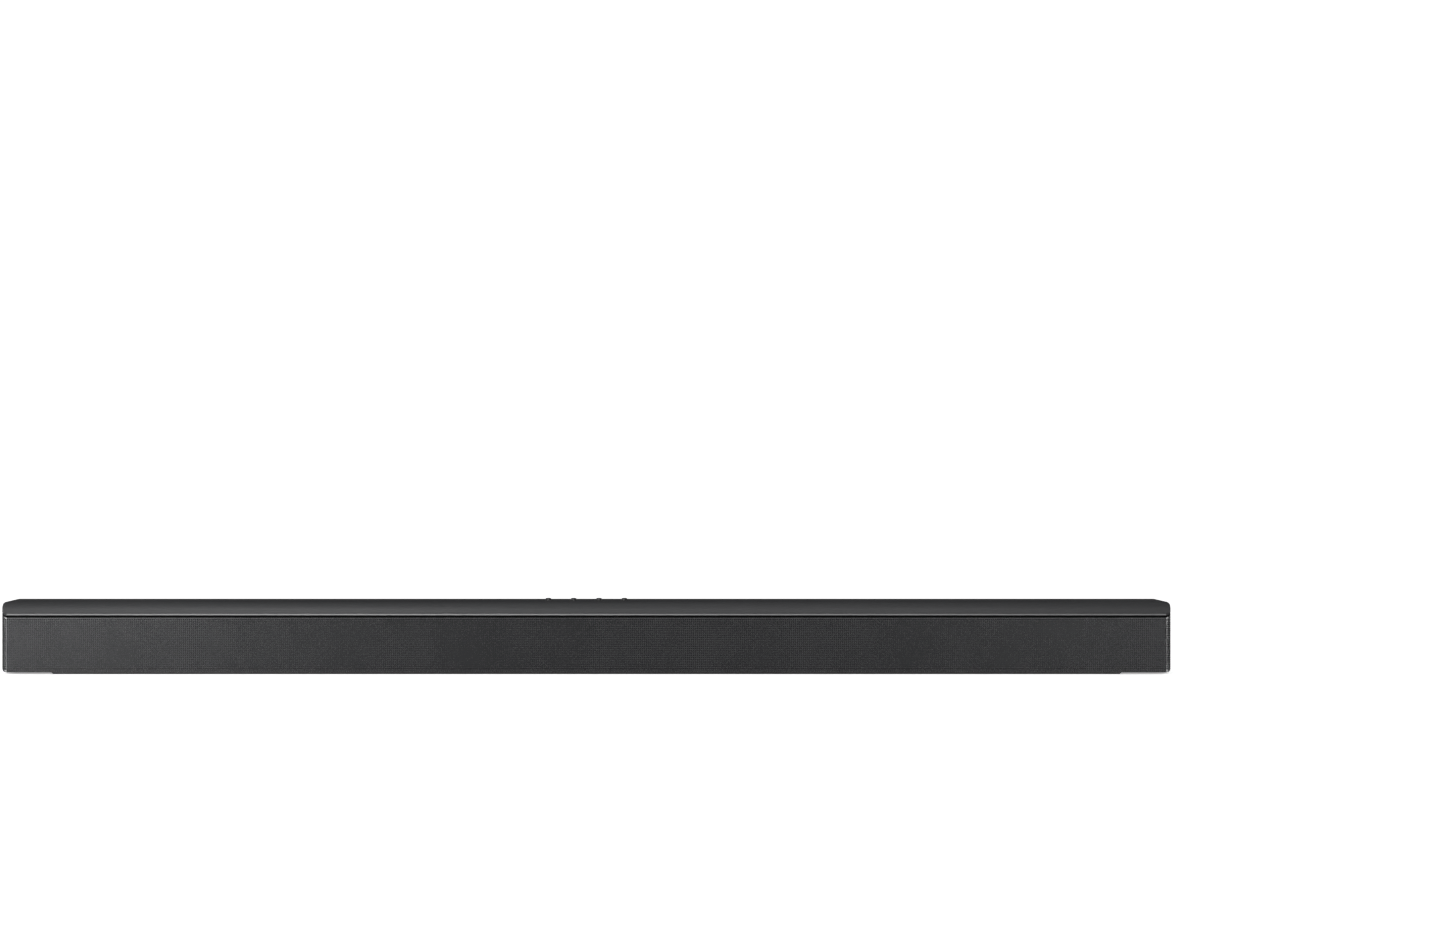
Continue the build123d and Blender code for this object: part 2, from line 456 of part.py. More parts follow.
FACE = 30.2
SOCKETS = {"hdmi_out_socket": (46.0, 15.2, 6.0), "hdmi_in_socket": (18.0, 15.2, 6.0),
           "optical_socket": (-12.0, 9.8, 9.6), "usb_socket": (-44.0, 13.4, 6.0)}
for nm, mouth, tongue in (("hdmi_out_socket", (14.1, 4.7, 9.6), (11.6, 1.1, 0.2)),
                          ("hdmi_in_socket", (14.1, 4.7, 9.6), (11.6, 1.1, 0.2)),
                          ("usb_socket", (12.5, 5.1, 9.5), (11.1, 1.8, 0.9))):
    x0, w, h = SOCKETS[nm]
    s = socket(x0, w, h, 16.0, FACE, TOP, mouth, tongue)
    if nm.startswith("hdmi"):                          # keyed lower corners of the shell
        for sgn in (-1, 1):
            wedge = front([(x0 + sgn * 7.1, TOP + 0.6, 0), (x0 + sgn * 7.1, TOP + 2.4, 0), (x0 + sgn * 5.3, TOP + 0.6, 0)]
                          if sgn < 0 else [(x0 + 7.1, TOP + 0.6, 0), (x0 + 5.3, TOP + 0.6, 0), (x0 + 7.1, TOP + 2.4, 0)], 20.0, FACE)
            s = s + wedge
    save(nm, s)
x0, w, h = SOCKETS["optical_socket"]
opt = bx(x0 - w / 2, x0 + w / 2, 17.0, FACE, TOP, TOP + h)
opt = opt - front([(x0 - 3.4, TOP + 1.4, 0), (x0 + 3.4, TOP + 1.4, 0), (x0 + 3.4, TOP + 6.4, 0), (x0 + 1.8, TOP + 8.0, 0),
                   (x0 - 1.8, TOP + 8.0, 0), (x0 - 3.4, TOP + 6.4, 0)], 20.6, 40)
opt = opt + (cy(x0, TOP + 4.6, 20.5, 24.5, 1.7) - cy(x0, TOP + 4.6, 20, 25, 0.6))
save("optical_socket", opt)
DCX = (DC_BAY[0] + DC_BAY[1]) / 2
DC_Z = 19.0
jack = bx(DCX - 5.5, DCX + 5.5, 15.0, FACE, 13.6, 24.6)
jack = jack - cy(DCX, DC_Z, 20.5, 40, 3.3)
jack = jack + cy(DCX, DC_Z, 20.4, 29.4, 0.85)
save("dc_jack", jack)
power = bx(DCX - 13, DCX + 13, 13.5, 25.6, BOARD_Z, BOARD_Z + 1.6)
for x, y in DC_HOLES:
    power = power - cz(x, y, 11, 15, 1.3)
save("dc_board", power)
io = bx(BAY[0] + 0.2, BAY[1] - 0.2, 28.5, 29.7, 8.0, BAY_ROOF - 0.2)
for nm, (x0, w, h) in SOCKETS.items():
    io = io - bx(x0 - w / 2 - 0.15, x0 + w / 2 + 0.15, 28, 31, TOP - 0.15, TOP + h + 0.15)
dcp = bx(DC_BAY[0] + 0.2, DC_BAY[1] - 0.2, 28.5, 29.7, 8.0, BAY_ROOF - 0.2) - bx(DCX - 5.65, DCX + 5.65, 28, 31, 13.45, 24.75)
plates = [io, dcp]
for i, xs in enumerate((PLATE_HOLES[:2], PLATE_HOLES[2:])):
    for x in xs:
        plates[i] = plates[i] - cy(x, 17.5, 28, 31, 1.5)
save("connector_plates", plates)
save("display_module", [bx(DISPLAY_X - 32.5, DISPLAY_X + 32.5, -45.8, PLATE_BACK + 0.3, DRIVER_Z - 5.6, DRIVER_Z + 5.6),
                        bx(DISPLAY_X - 40, DISPLAY_X + 40, PLATE_BACK + 0.3, PLATE_BACK + 1.9, DRIVER_Z - 11, DRIVER_Z + 11)])
save("ir_receiver", fuse(cy(IR_X, DRIVER_Z, -45.2, -38.5, 3.0), bx(IR_X - 4, IR_X + 4, -41.3, -36.5, DRIVER_Z - 5, DRIVER_Z + 5)))

# ---------------------------------------------------------------- connectors and leads
save("lead_connectors", [bx(s * 136.1 - 2.9, s * 136.1 + 2.9, 2.6, 13.0, TOP, TOP + 4.0) for s in (-1, 1)]
     + [bx(133.2, 139.0, 19.8, 24.2, TOP, TOP + 4.0), bx(164.0, 168.8, 19.8, 24.2, TOP, TOP + 4.0),
        bx(3.0, 9.0, -19.0, -17.2, TOP, TOP + 4.2)])
LEAD_R = 0.9


def lead(points, r=LEAD_R):
    """Round lead on straight runs joined by tangent arcs, as large as the runs allow."""
    vs = [Vector(*p) for p in points]
    radii = []
    for a, b, c in zip(vs, vs[1:], vs[2:]):
        short = min((b - a).length, (c - b).length)
        turn = math.radians((b - a).get_angle(c - b))
        radii.append(min(14.0, 0.45 * short / math.tan(turn / 2)))
    path = FilletPolyline(*[v.to_tuple() for v in vs], radius=radii) if radii else Line(vs[0], vs[1])
    start = Plane(origin=vs[0], z_dir=(vs[1] - vs[0]).normalized())
    return sweep(start * Circle(r), path)


FL, UP = FLOOR + 1.0, TOP + 2.0
leads = [
    lead([(-452, -31, 20), (-452, -20, 20), (-452, -11, FL), (-452, 11.4, FL), (-147.5, 11.4, FL), (-147.5, 11.4, UP), (-139, 11.4, UP)]),
    lead([(-352.6, -25, DRIVER_Z), (-341, -25, DRIVER_Z), (-341, -14, FL), (-341, 8.8, FL), (-147.5, 8.8, FL), (-147.5, 8.8, UP), (-139, 8.8, UP)]),
    lead([(-103.4, -25, DRIVER_Z), (-151, -25, DRIVER_Z), (-151, 4, UP), (-139, 4, UP)]),
    lead([(452, -31, 20), (452, -20, 20), (452, -11, FL), (452, 11.4, FL), (147.5, 11.4, FL), (147.5, 11.4, UP), (139, 11.4, UP)]),
    lead([(352.6, -25, DRIVER_Z), (341, -25, DRIVER_Z), (341, -14, FL), (341, 8.8, FL), (147.5, 8.8, FL), (147.5, 8.8, UP), (139, 8.8, UP)]),
    lead([(103.4, -25, DRIVER_Z), (151, -25, DRIVER_Z), (151, 4, UP), (139, 4, UP)]),
    lead([(214, PLATE_BACK + 1.9, DRIVER_Z), (214, -29, DRIVER_Z), (214, -18, FL), (214, 6.3, FL), (147.5, 6.3, FL), (147.5, 6.3, UP), (139, 6.3, UP)]),
    lead([(6, -31, UP + 0.6), (6, -19, UP + 0.6)]),
    lead([(139, 20.8, UP), (164, 20.8, UP)]),
]
for item in leads:
    print("lead volume", round(item.volume, 1))
flats = [bx(-152, -140, 18.5, 24.5, BOARD_Z + 0.5, BOARD_Z + 0.8), bx(38, 46, 9.8, 10.1, TOP, 50.4)]
save("internal_leads", leads + flats)
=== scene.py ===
import json
import math

import bmesh
import bpy
import numpy as np
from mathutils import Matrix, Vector


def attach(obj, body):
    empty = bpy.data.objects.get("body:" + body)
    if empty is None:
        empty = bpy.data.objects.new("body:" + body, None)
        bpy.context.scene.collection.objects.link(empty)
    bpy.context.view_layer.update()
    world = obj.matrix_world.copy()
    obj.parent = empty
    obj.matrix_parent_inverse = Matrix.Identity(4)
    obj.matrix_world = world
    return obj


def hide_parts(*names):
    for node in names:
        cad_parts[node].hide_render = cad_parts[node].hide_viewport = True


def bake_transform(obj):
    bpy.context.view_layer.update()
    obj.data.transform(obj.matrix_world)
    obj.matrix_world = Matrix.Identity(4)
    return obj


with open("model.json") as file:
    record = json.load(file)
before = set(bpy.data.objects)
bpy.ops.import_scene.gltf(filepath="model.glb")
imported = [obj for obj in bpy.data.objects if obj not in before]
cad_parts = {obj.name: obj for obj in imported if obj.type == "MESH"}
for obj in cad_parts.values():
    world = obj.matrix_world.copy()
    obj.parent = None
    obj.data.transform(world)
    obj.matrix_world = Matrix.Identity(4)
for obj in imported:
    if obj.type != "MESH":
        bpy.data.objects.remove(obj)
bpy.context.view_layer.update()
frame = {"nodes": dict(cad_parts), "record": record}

MM = 0.001
scene = bpy.context.scene
nodes = frame["nodes"]


def collection():
    return scene.collection


# ------------------------------------------------------------------ camera
IMG_W, IMG_H = 1445, 939
CAM_DIST = 3.9            # camera to the grille's front plane
CAM_Z = 0.1716
PX_PER_M = 1194.0         # at the grille's front plane
F_PX = PX_PER_M * CAM_DIST
cam_data = bpy.data.cameras.new("camera")
cam = bpy.data.objects.new("camera", cam_data)
collection().objects.link(cam)
cam_data.sensor_fit = "HORIZONTAL"
cam_data.sensor_width = 36.0
cam_data.lens = 36.0 * F_PX / IMG_W
cam_data.clip_start, cam_data.clip_end = 0.05, 200.0
cam_data.shift_x = (IMG_W / 2 - 586.4) / IMG_W
cam.location = (0.0, -0.0525 - CAM_DIST, CAM_Z)
cam.rotation_euler = (math.radians(90), 0, 0)
scene.camera = cam


# ------------------------------------------------------------------ materials
class Mat:
    """A node material: small helpers round one Principled shader."""

    def __init__(self, name, rough=0.5, metal=0.0, spec=0.5, **sockets):
        self.m = bpy.data.materials.new(name)
        self.m.use_nodes = True
        self.t = self.m.node_tree
        self.b = self.t.nodes["Principled BSDF"]
        self.b.inputs["Roughness"].default_value = rough
        self.b.inputs["Metallic"].default_value = metal
        self.b.inputs["Specular IOR Level"].default_value = spec
        for k, v in sockets.items():
            self.b.inputs[k.replace("_", " ")].default_value = v
        self.co = self.t.nodes.new("ShaderNodeTexCoord").outputs["Object"]

    def node(self, kind, **props):
        n = self.t.nodes.new("ShaderNode" + kind)
        for k, v in props.items():
            setattr(n, k, v)
        return n

    def link(self, a, b):
        self.t.links.new(a, b)

    def mapping(self, scale, loc=(0, 0, 0), rot=(0, 0, 0)):
        n = self.node("Mapping")
        n.inputs["Scale"].default_value = scale
        n.inputs["Location"].default_value = loc
        n.inputs["Rotation"].default_value = rot
        self.link(self.co, n.inputs["Vector"])
        return n.outputs["Vector"]

    def noise(self, scale, detail=3.0, rough=0.55, vec=None, distortion=0.0):
        n = self.node("TexNoise")
        n.inputs["Scale"].default_value = scale
        n.inputs["Detail"].default_value = detail
        n.inputs["Roughness"].default_value = rough
        n.inputs["Distortion"].default_value = distortion
        self.link(vec or self.co, n.inputs["Vector"])
        return n.outputs["Fac"]

    def voronoi(self, scale, feature="F1", vec=None, out="Distance"):
        n = self.node("TexVoronoi", feature=feature)
        n.inputs["Scale"].default_value = scale
        self.link(vec or self.co, n.inputs["Vector"])
        return n.outputs[out]

    def wave(self, scale, vec=None, axis="X", distortion=0.0, profile="SIN"):
        n = self.node("TexWave", bands_direction=axis, wave_profile=profile)
        n.inputs["Scale"].default_value = scale
        n.inputs["Distortion"].default_value = distortion
        self.link(vec or self.co, n.inputs["Vector"])
        return n.outputs["Fac"]

    def ramp(self, fac, stops):
        n = self.node("ValToRGB")
        e = n.color_ramp.elements
        while len(e) < len(stops):
            e.new(0.5)
        for el, (pos, col) in zip(e, stops):
            el.position = pos
            el.color = (*col, 1) if len(col) == 3 else col
        self.link(fac, n.inputs["Fac"])
        return n.outputs["Color"]

    def maprange(self, fac, lo, hi, a=0.0, b=1.0):
        n = self.node("MapRange")
        n.inputs["From Min"].default_value = a
        n.inputs["From Max"].default_value = b
        n.inputs["To Min"].default_value = lo
        n.inputs["To Max"].default_value = hi
        self.link(fac, n.inputs["Value"])
        return n.outputs["Result"]

    def math(self, op, a, b):
        n = self.node("Math", operation=op)
        for i, v in enumerate((a, b)):
            if isinstance(v, (int, float)):
                n.inputs[i].default_value = v
            else:
                self.link(v, n.inputs[i])
        return n.outputs[0]

    def mix(self, fac, a, b):
        n = self.node("Mix", data_type="RGBA")
        if isinstance(fac, (int, float)):
            n.inputs["Factor"].default_value = fac
        else:
            self.link(fac, n.inputs["Factor"])
        for key, v in ((6, a), (7, b)):
            if isinstance(v, tuple):
                n.inputs[key].default_value = (*v, 1)
            else:
                self.link(v, n.inputs[key])
        return n.outputs[2]

    def color(self, out):
        self.link(out, self.b.inputs["Base Color"])

    def rough(self, out):
        self.link(out, self.b.inputs["Roughness"])

    def bump(self, height, strength, distance_mm, normal=None):
        n = self.node("Bump")
        n.inputs["Strength"].default_value = strength
        n.inputs["Distance"].default_value = distance_mm * MM
        self.link(height, n.inputs["Height"])
        if normal is not None:
            self.link(normal, n.inputs["Normal"])
        self.link(n.outputs["Normal"], self.b.inputs["Normal"])
        return n.outputs["Normal"]


def moulded(name, c0, c1, rough=(0.42, 0.52), grain_mm=0.35, bump=0.12, spec=0.5):
    """Moulded plastic: spark-eroded grain, faint flow clouds, slightly uneven gloss."""
    m = Mat(name, spec=spec)
    cloud = m.noise(9.0, 4.0)
    fine = m.noise(900.0 / grain_mm, 2.0)
    m.color(m.mix(m.maprange(cloud, 0.0, 1.0, 0.3, 0.7), c0, c1))
    r = m.math("ADD", m.maprange(cloud, rough[0], rough[1], 0.3, 0.7), m.maprange(fine, -0.03, 0.03, 0.3, 0.7))
    m.rough(r)
    m.bump(fine, bump, 0.02)
    return m.m


def lid_plastic():
    """Satin moulded lid. Along the narrow strip at its front lower edge the base colour is lightened into a
    painted highlight line, with streaks and lower roughness.
    """
    m = Mat("cover_satin", spec=0.5)
    cloud = m.noise(7.0, 4.0)
    fine = m.noise(2600.0, 2.0)
    body = m.mix(m.maprange(cloud, 0.0, 1.0, 0.3, 0.7), (0.038, 0.0385, 0.041), (0.045, 0.0455, 0.048))
    sep = m.node("SeparateXYZ")
    m.link(m.co, sep.inputs[0])
    low = m.math("LESS_THAN", sep.outputs[2], 0.05078)
    fore = m.math("LESS_THAN", sep.outputs[1], -0.05195)
    span = m.math("LESS_THAN", m.math("ABSOLUTE", sep.outputs[0], 0.0), 0.4855)
    # mask of the front lower lip strip that carries the painted highlight
    lip_highlight_mask = m.math("MULTIPLY", m.math("MULTIPLY", low, fore), span)
    lip_streaks = m.noise(1.0, 3.0, vec=m.mapping((60, 4000, 4000)))
    # painted highlight: the lip strip's base colour is lightened to stand in for the bright line the light makes
    # on the lip
    m.color(m.mix(lip_highlight_mask, body, m.mix(m.maprange(lip_streaks, 0.0, 1.0, 0.3, 0.7), (0.15, 0.151, 0.155), (0.19, 0.191, 0.195))))
    satin = m.math("ADD", m.maprange(cloud, 0.40, 0.45, 0.3, 0.7), m.maprange(fine, -0.03, 0.03, 0.3, 0.7))
    keep = m.math("SUBTRACT", 1.0, lip_highlight_mask)
    m.rough(m.math("ADD", m.math("MULTIPLY", satin, keep), m.math("MULTIPLY", m.maprange(lip_streaks, 0.24, 0.32, 0.3, 0.7), lip_highlight_mask)))
    m.bump(m.math("MULTIPLY", fine, keep), 0.10, 0.02)
    return m.m


def powder_coat():
    """Satin powder coat on the perforated sheet: orange peel and faint colour clouds."""
    m = Mat("powder_coat", spec=0.5)
    peel = m.noise(1500.0, 2.0)
    cloud = m.noise(14.0, 3.0)
    m.color(m.mix(m.maprange(cloud, 0.0, 1.0, 0.3, 0.7), (0.022, 0.0223, 0.0240), (0.030, 0.0303, 0.0322)))
    m.rough(m.math("ADD", m.maprange(cloud, 0.25, 0.29, 0.3, 0.7), m.maprange(peel, -0.03, 0.03, 0.3, 0.7)))
    m.bump(peel, 0.08, 0.01)
    return m.m


def woven(name, c0, c1, pitch_mm, sheen=0.2, rough=0.9):
    """Plain weave: warp and weft pass over each other in turn, with slubs along the threads."""
    m = Mat(name, rough=rough, spec=0.25, Sheen_Weight=sheen)
    sep, comb = m.node("SeparateXYZ"), m.node("CombineXYZ")
    m.link(m.co, sep.inputs[0])
    m.link(m.math("ADD", sep.outputs[0], sep.outputs[1]), comb.inputs[0])     # runs on round a corner
    m.link(sep.outputs[2], comb.inputs[2])
    flat = comb.outputs[0]
    k = 0.31416 / (pitch_mm * MM)
    warp, weft = m.wave(k, vec=flat, axis="X"), m.wave(k, vec=flat, axis="Z")
    over_u, over_v = m.wave(k / 2, vec=flat, axis="X"), m.wave(k / 2, vec=flat, axis="Z")
    turn = m.math("GREATER_THAN", m.math("MULTIPLY", m.math("SUBTRACT", over_u, 0.5), m.math("SUBTRACT", over_v, 0.5)), 0.0)
    top = m.math("ADD", m.math("MULTIPLY", warp, turn), m.math("MULTIPLY", weft, m.math("SUBTRACT", 1.0, turn)))
    weave = m.math("MAXIMUM", top, m.math("MULTIPLY", m.math("MAXIMUM", warp, weft), 0.55))
    slub = m.noise(240.0, 3.0)
    m.color(m.mix(m.math("MULTIPLY", weave, m.maprange(slub, 0.6, 1.1, 0.3, 0.7)), c0, c1))
    m.bump(weave, 0.5, 0.05)
    return m.m


def metal(name, c0, c1, rough=(0.25, 0.38), streak=(40, 900, 40), bump=0.05):
    """Turned, drawn or plated metal with fine streaks."""
    m = Mat(name, metal=1.0)
    s = m.noise(1.0, 4.0, vec=m.mapping(streak))
    c = m.noise(60.0, 3.0)
    m.color(m.mix(m.maprange(c, 0.0, 1.0, 0.3, 0.7), c0, c1))
    m.rough(m.maprange(s, rough[0], rough[1], 0.3, 0.7))
    m.bump(s, bump, 0.02)
    return m.m


def rubber(name, c0, c1, rough=(0.75, 0.88)):
    m = Mat(name, spec=0.3)
    f = m.noise(1800.0, 2.0)
    c = m.noise(45.0, 3.0)
    m.color(m.mix(m.maprange(c, 0.0, 1.0, 0.3, 0.7), c0, c1))
    m.rough(m.maprange(c, rough[0], rough[1], 0.3, 0.7))
    m.bump(f, 0.2, 0.03)
    return m.m


def circuit(name):
    """Solder mask with faint tracks."""
    m = Mat(name, rough=0.35, spec=0.5)
    tracks = m.voronoi(260.0, "DISTANCE_TO_EDGE")
    line = m.ramp(tracks, [(0.0, (1, 1, 1)), (0.03, (1, 1, 1)), (0.05, (0, 0, 0)), (1.0, (0, 0, 0))])
    m.color(m.mix(line, (0.008, 0.045, 0.024), (0.016, 0.085, 0.042)))
    m.bump(line, 0.3, 0.03)
    return m.m


def pulp(name):
    """Pressed paper cone: felted fibres."""
    m = Mat(name, rough=0.85, spec=0.3)
    f = m.noise(700.0, 5.0, distortion=1.5)
    m.color(m.mix(m.maprange(f, 0.0, 1.0, 0.3, 0.7), (0.012, 0.012, 0.013), (0.035, 0.034, 0.034)))
    m.bump(f, 0.4, 0.08)
    return m.m


M = {
    "grille_metal": powder_coat(),
    "acoustic_cloth": woven("acoustic_cloth", (0.004, 0.004, 0.0045), (0.012, 0.012, 0.013), 0.35),
    "cover_plastic": lid_plastic(),
    "key_plastic": moulded("key_satin", (0.036, 0.0365, 0.038), (0.042, 0.0425, 0.044), rough=(0.34, 0.42), grain_mm=0.25, bump=0.06),
    "case_plastic": moulded("case_matte", (0.016, 0.016, 0.017), (0.022, 0.022, 0.023), rough=(0.55, 0.65), grain_mm=0.6, bump=0.3),
    "foot_rubber": rubber("foot_rubber", (0.014, 0.014, 0.0145), (0.022, 0.022, 0.023)),
    "label_film": moulded("label_film", (0.045, 0.045, 0.047), (0.055, 0.055, 0.057), rough=(0.3, 0.36), grain_mm=1.2, bump=0.03),
    "black_steel": metal("black_zinc", (0.05, 0.05, 0.052), (0.10, 0.10, 0.105), rough=(0.32, 0.48)),
    "insert_brass": metal("brass", (0.62, 0.44, 0.18), (0.78, 0.58, 0.27), rough=(0.2, 0.34)),
    "circuit_board": circuit("circuit_board"),
    "component_plastic": moulded("component_black", (0.014, 0.014, 0.015), (0.022, 0.022, 0.023), rough=(0.45, 0.55), grain_mm=0.8),
    "display_glass": moulded("display_smoke", (0.003, 0.003, 0.004), (0.006, 0.006, 0.007), rough=(0.08, 0.14), grain_mm=2.0, bump=0.02),
    "sink_aluminium": metal("extruded_aluminium", (0.68, 0.68, 0.70), (0.80, 0.80, 0.82), rough=(0.28, 0.42)),
    "choke_ferrite": moulded("ferrite", (0.05, 0.05, 0.052), (0.09, 0.09, 0.092), rough=(0.6, 0.75), grain_mm=1.0, bump=0.4),
    "socket_steel": metal("tinned_steel", (0.52, 0.52, 0.54), (0.66, 0.66, 0.68), rough=(0.18, 0.3)),
    "lead_rubber": rubber("lead_sleeve", (0.02, 0.02, 0.021), (0.035, 0.035, 0.036), rough=(0.4, 0.55)),
    "basket_steel": metal("basket_coat", (0.03, 0.03, 0.031), (0.045, 0.045, 0.046), rough=(0.45, 0.6)),
    "motor_iron": metal("plated_iron", (0.28, 0.28, 0.29), (0.42, 0.42, 0.43), rough=(0.3, 0.45)),
    "cone_paper": pulp("cone_paper"),
    "surround_rubber": rubber("surround_rubber", (0.012, 0.012, 0.0125), (0.02, 0.02, 0.021), rough=(0.6, 0.75)),
    "spider_cloth": woven("spider_cloth", (0.25, 0.16, 0.07), (0.42, 0.29, 0.14), 0.6),
    "dome_silk": woven("dome_silk", (0.012, 0.012, 0.013), (0.03, 0.03, 0.032), 0.25, sheen=0.4, rough=0.6),
}
BAFFLE = moulded("baffle_matte", (0.005, 0.005, 0.0055), (0.008, 0.008, 0.0085), rough=(0.72, 0.82), grain_mm=0.6, bump=0.3, spec=0.2)
SLOT = {s["node"]: s["material_slot"] for s in frame["record"]["subparts"]}
for name, o in nodes.items():
    for ms in o.material_slots:
        ms.material = BAFFLE if name == "front_baffle" else M[SLOT[name]]
    if not o.material_slots:
        o.data.materials.append(M[SLOT[name]])


# ------------------------------------------------------------------ surrounds and spiders, copied into separate meshes
def stretch(node, cx, half):
    src = nodes[node]
    me = src.data.copy()
    me.name = node + "_flex"
    me.transform(src.matrix_world)
    o = bpy.data.objects.new(node + "_flex", me)
    collection().objects.link(o)
    co = np.zeros(len(me.vertices) * 3, np.float32)
    me.vertices.foreach_get("co", co)
    p = co.reshape(-1, 3).astype(float)
    dx = np.maximum(np.abs(p[:, 0] - cx) - half, 0.0)
    line = np.zeros_like(p)
    line[:, 0] = np.hypot(dx, p[:, 2] - 0.0265)
    me.vertices.foreach_set("co", line.astype(np.float32).ravel())
    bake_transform(o)
    me.vertices.foreach_set("co", co)
    me.update()
    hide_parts(node)


for tag, cx in (("left", -0.370), ("centre_left", -0.086), ("centre_right", 0.086), ("right", 0.370)):
    stretch(f"woofer_{tag}_surround", cx, 0.0308)
    stretch(f"woofer_{tag}_spider", cx, 0.0)


# ------------------------------------------------------------------ perforated grille
def new_mesh(name, verts, faces, mats, smooth=False, uv=None):
    me = bpy.data.meshes.new(name)
    me.vertices.add(len(verts))
    me.vertices.foreach_set("co", np.asarray(verts, np.float32).ravel())
    counts = np.array([len(f) for f in faces], np.int32)
    starts = np.concatenate(([0], np.cumsum(counts)[:-1])).astype(np.int32)
    flat = np.fromiter((v for f in faces for v in f), np.int32, int(counts.sum()))
    me.loops.add(len(flat))
    me.loops.foreach_set("vertex_index", flat)
    me.polygons.add(len(faces))
    me.polygons.foreach_set("loop_start", starts)
    me.polygons.foreach_set("use_smooth", np.full(len(faces), smooth))
    me.update(calc_edges=True)
    if uv is not None:
        layer = me.uv_layers.new(name="OFBake")
        layer.data.foreach_set("uv", np.asarray(uv, np.float32)[flat].ravel())
    for m in mats:
        me.materials.append(m)
    me.validate()
    o = bpy.data.objects.new(name, me)
    collection().objects.link(o)
    return o


HX, HY, R, T = 490.0, 52.5, 6.0, 0.8
GZ0, GZ1, REAR = 1.5, 47.4, 33.0
FLARE_X, FLARE_R, SOLE_R = 485.0, 5.25, 4.0
PU, PZ, ROWS, Z_FIRST = 1.71, 1.865, 24, 1.5 + 0.42
HOLE_U, HOLE_Z, CHAMFER = 1.20, 1.34, 0.36
WING = REAR + HY - R
ARC = R * math.pi / 2
HALF_FRONT = HX - R


def path_point(u):
    """(x, y, nx, ny) of the sheet's outer face at arc length u from the middle of the front."""
    s = np.sign(u)
    a = np.abs(u)
    x = np.where(a <= HALF_FRONT, a, 0.0)
    y = np.where(a <= HALF_FRONT, -HY, 0.0)
    nx = np.zeros_like(a)
    ny = np.where(a <= HALF_FRONT, -1.0, 0.0)
    on_arc = (a > HALF_FRONT) & (a < HALF_FRONT + ARC)
    ang = (a - HALF_FRONT) / R
    x = np.where(on_arc, HALF_FRONT + R * np.sin(ang), x)
    y = np.where(on_arc, -HY + R - R * np.cos(ang), y)
    nx = np.where(on_arc, np.sin(ang), nx)
    ny = np.where(on_arc, -np.cos(ang), ny)
    wing = a >= HALF_FRONT + ARC
    x = np.where(wing, HX, x)
    y = np.where(wing, -HY + R + (a - HALF_FRONT - ARC), y)
    nx = np.where(wing, 1.0, nx)
    ny = np.where(wing, 0.0, ny)
    return x * s + (s == 0) * 0.0, y, nx * s, ny


def z_low(x):
    d = np.clip(np.abs(x) - (HX - SOLE_R), 0, SOLE_R)
    return GZ0 + SOLE_R - np.sqrt(SOLE_R ** 2 - d ** 2)


def z_high(x, z1=None):
    d = np.clip(np.abs(x) - FLARE_X, 0, HX - FLARE_X)
    return (GZ1 if z1 is None else z1) + FLARE_R - np.sqrt(FLARE_R ** 2 - d ** 2)


